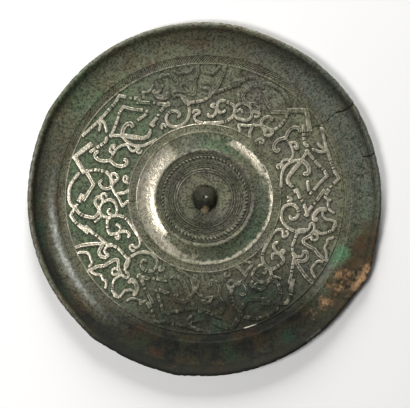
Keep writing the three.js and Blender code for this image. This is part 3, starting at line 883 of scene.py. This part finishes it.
def blended(tree, share, first, second):
    """A mix of two colours, each an sRGB hex code or the colour from a node."""
    ends = [shade(end) if isinstance(end, str) else end for end in (first, second)]
    return add(tree, "MixRGB", {"Fac": share, "Color1": ends[0], "Color2": ends[1]})


def laid_in(tree, under, over, name, pattern, softness):
    """One surface over another in ragged patches, by the share that is stored under that name."""
    return laid_over(tree, under, over, broken_up(tree, stored(tree, name), pattern, softness))


def with_patina(tree, wide, middle, small, patches):
    """The smooth patinas, dull and without metal; the dark one is also a painted shadow at the bottom."""
    olive = (blended(tree, middle, "#4c4d39", "#7b7b61"), .55, 0)
    grey = (blended(tree, small, "#4f4b46", "#6f6a62"), .5, 0)
    greyed = add(tree, "MapRange", {"Value": wide, "From Min": .4, "To Max": .7})
    surface = laid_over(tree, olive, grey, greyed)
    brown = (blended(tree, small, "#463a27", "#6c5d43"), .55, 0)
    browned = add(tree, "Math", {0: stored(tree, "brown"), 1: patches}, operation="MULTIPLY")
    surface = laid_over(tree, surface, brown, browned)
    cool = (blended(tree, small, "#4a504a", "#70766b"), .5, 0)
    surface = laid_in(tree, surface, cool, "cool", middle, .8)
    green = (blended(tree, small, "#2f4a2d", "#5a7350"), .6, 0)
    surface = laid_in(tree, surface, green, "green", middle, .75)
    flecks = add(tree, "MapRange", {"Value": blotches(tree, 1.1, .5, .7, detail=3), "To Max": .45})
    surface = laid_over(tree, surface, (blended(tree, middle, "#8b8a70", "#6f7862"), .5, 0), flecks)
    # Dark patina, and painted shadow where its share is high at the bottom of the mirror.
    tinted = blended(tree, wide, "#3a2513", "#1d3524")
    dark_patina_and_painted_shadow = (blended(tree, patches, blended(tree, small, "#0a0b07", "#24251a"), tinted), .8, 0)
    return laid_in(tree, surface, dark_patina_and_painted_shadow, "dark_patina_and_painted_shadow", middle, .85)


def with_marks(tree, surface):
    """Fine pits, and the rings that turning left on the plain parts."""
    pits = add(tree, "MapRange", {"Value": blotches(tree, .8, .5, .62, detail=2), "To Max": .7})
    surface = laid_over(tree, surface, (shade("#14160d"), .85, 0), pits)
    place = add(tree, "TexCoord", out="Object")
    scale = 2 * pi / 20 / (TURNING_SPACING * MM)
    rings = add(tree, "TexWave", {"Vector": place, "Scale": scale, "Distortion": 1.5},
                wave_type="RINGS", rings_direction="Z")
    marks = add(tree, "Math", {0: rings, 1: stored(tree, "turned")}, operation="MULTIPLY")
    marks = add(tree, "Math", {0: marks, 1: .35}, operation="MULTIPLY")
    return laid_over(tree, surface, (shade("#1c1d14"), .6, 0), marks)


def with_bare_metal(tree, surface, small):
    # Pale grey layer: painted highlight on the border and rim lip, grey patina elsewhere.
    pale_grey_and_painted_highlight = (blended(tree, small, "#7d7f78", "#a3a69d"), .42, .5)
    surface = laid_in(tree, surface, pale_grey_and_painted_highlight, "pale_grey_and_painted_highlight", small, .85)
    bare = (blended(tree, small, "#e2dac4", "#b5ad98"), .36, .8)
    return laid_in(tree, surface, bare, "silver", small, .6)


def with_crusts(tree, surface, middle, small, fine):
    rust = (blended(tree, middle, blended(tree, small, "#17180e", "#3b3a24"), "#4d3a26"), .85, 0)
    surface = laid_in(tree, surface, rust, "rust", small, .8)
    ochre = (blended(tree, fine, "#6e5132", "#b08d68"), .85, 0)
    surface = laid_in(tree, surface, ochre, "ochre", small, .6)
    malachite = (blended(tree, fine, "#2f4f37", "#6a8a66"), .7, 0)
    surface = laid_in(tree, surface, malachite, "malachite", fine, .6)
    # Dirt, with painted shade along the straps and on the rim's inner wall, and a painted shadow at the
    # bottom.
    dirt_and_painted_shade_amount = add(tree, "Math", {0: stored(tree, "dirt_and_painted_shade"), 1: .75}, operation="MULTIPLY")
    return laid_over(tree, surface, (shade("#15170f"), .9, 0), dirt_and_painted_shade_amount)


def patinated_bronze():
    """High-tin bronze, cast, polished and long buried. Smooth dark patina has a dull gloss, the bare
    relief is silvery, and the crusts are matt."""
    material, tree = new_material("patinated_high_tin_bronze")
    wide, middle, small = blotches(tree, 15), blotches(tree, 4.5), blotches(tree, 1.5)
    patches = blotches(tree, 7, .43, .57, detail=5)
    fine, grit = blotches(tree, .6, .3, .7), blotches(tree, .25, .3, .7, detail=2)
    surface = with_marks(tree, with_patina(tree, wide, middle, small, patches))
    surface = with_bare_metal(tree, surface, small)
    colour, roughness, metallic = with_crusts(tree, surface, middle, small, fine)
    rough = add(tree, "Math", {0: small, 1: fine}, operation="ADD")
    relief = add(tree, "Bump", {"Height": rough, "Distance": .09 * MM, "Strength": .7})
    relief = add(tree, "Bump", {
        "Height": grit, "Distance": .03 * MM, "Strength": .6, "Normal": relief})
    shader = add(tree, "BsdfPrincipled", {
        "Base Color": colour, "Roughness": roughness, "Metallic": metallic, "Normal": relief,
        "Specular IOR Level": .3})
    add(tree, "OutputMaterial", {"Surface": shader})
    return material


def dry_soil():
    """Packed loess, dull and crumbly."""
    material, tree = new_material("dry_soil")
    crumbs = blotches(tree, .5, .3, .7)
    relief = add(tree, "Bump", {"Height": crumbs, "Distance": .1 * MM})
    shader = add(tree, "BsdfPrincipled", {
        "Base Color": blended(tree, crumbs, "#574c35", "#9a8a68"), "Roughness": .95, "Normal": relief})
    add(tree, "OutputMaterial", {"Surface": shader})
    return material


def matt_paper():
    """Pale seamless background paper, with no gloss."""
    material, tree = new_material("matt_paper")
    shader = add(tree, "BsdfPrincipled", {"Base Color": shade("#f4f3f1"), "Roughness": .95})
    add(tree, "OutputMaterial", {"Surface": shader})
    return material


# ---- The pieces ----

SHARP_ANGLE = radians(38)

mirror = casting()
store_finish(mirror.data)
mirror.data.transform(Matrix.Scale(MM, 4))
mirror.data.shade_smooth()
mirror.data.set_sharp_from_angle(angle=SHARP_ANGLE)
mirror.data.materials.clear()
mirror.data.materials.append(patinated_bronze())
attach(mirror, "root")
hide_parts("bronze_mirror")

soil = soil_plug()
soil.data.materials.append(dry_soil())
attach(soil, "root")

# ---- Stage, lights and camera, in metres ----

FLOOR_HALF = 1.2
FLOOR_HEIGHT = -.0001                 # just below the polished face
SKY_COLOUR = "#f4f6fa"
SKY_STRENGTH = .1
CAMERA_HEIGHT = .75
SEEN_WIDTH = .1746                    # that the picture takes in, at the height of the floor
CAMERA_ASIDE = (.00026, -.002)

bm = bmesh.new()
bmesh.ops.create_grid(bm, x_segments=1, y_segments=1, size=FLOOR_HALF)
bmesh.ops.translate(bm, vec=(0, 0, FLOOR_HEIGHT), verts=bm.verts)
floor = object_of(mesh_of(bm, "floor"), "floor")
floor.data.materials.append(matt_paper())


def soft_light(name, place, size, power):
    """A square light that faces the mirror."""
    lamp = bpy.data.lights.new(name, "AREA")
    lamp.size = size
    lamp.energy = power
    light = object_of(lamp, name)
    light.location = place
    light.rotation_euler = (-Vector(place)).to_track_quat("-Z", "Y").to_euler()


soft_light("window", (-.46, -.17, .7), .3, 5)
soft_light("sky", (-.05, 1.1, .36), .5, 20)

world = bpy.data.worlds.new("studio")
world.use_nodes = True
background = world.node_tree.nodes["Background"]
background.inputs["Color"].default_value = shade(SKY_COLOUR)
background.inputs["Strength"].default_value = SKY_STRENGTH
bpy.context.scene.world = world
bpy.context.scene.view_settings.view_transform = "Standard"

# The camera looks straight down on the mirror.
lens = bpy.data.cameras.new("camera")
lens.sensor_width = 36
lens.lens = lens.sensor_width * CAMERA_HEIGHT / SEEN_WIDTH
camera = object_of(lens, "camera")
camera.location = (*CAMERA_ASIDE, CAMERA_HEIGHT)
bpy.context.scene.camera = camera
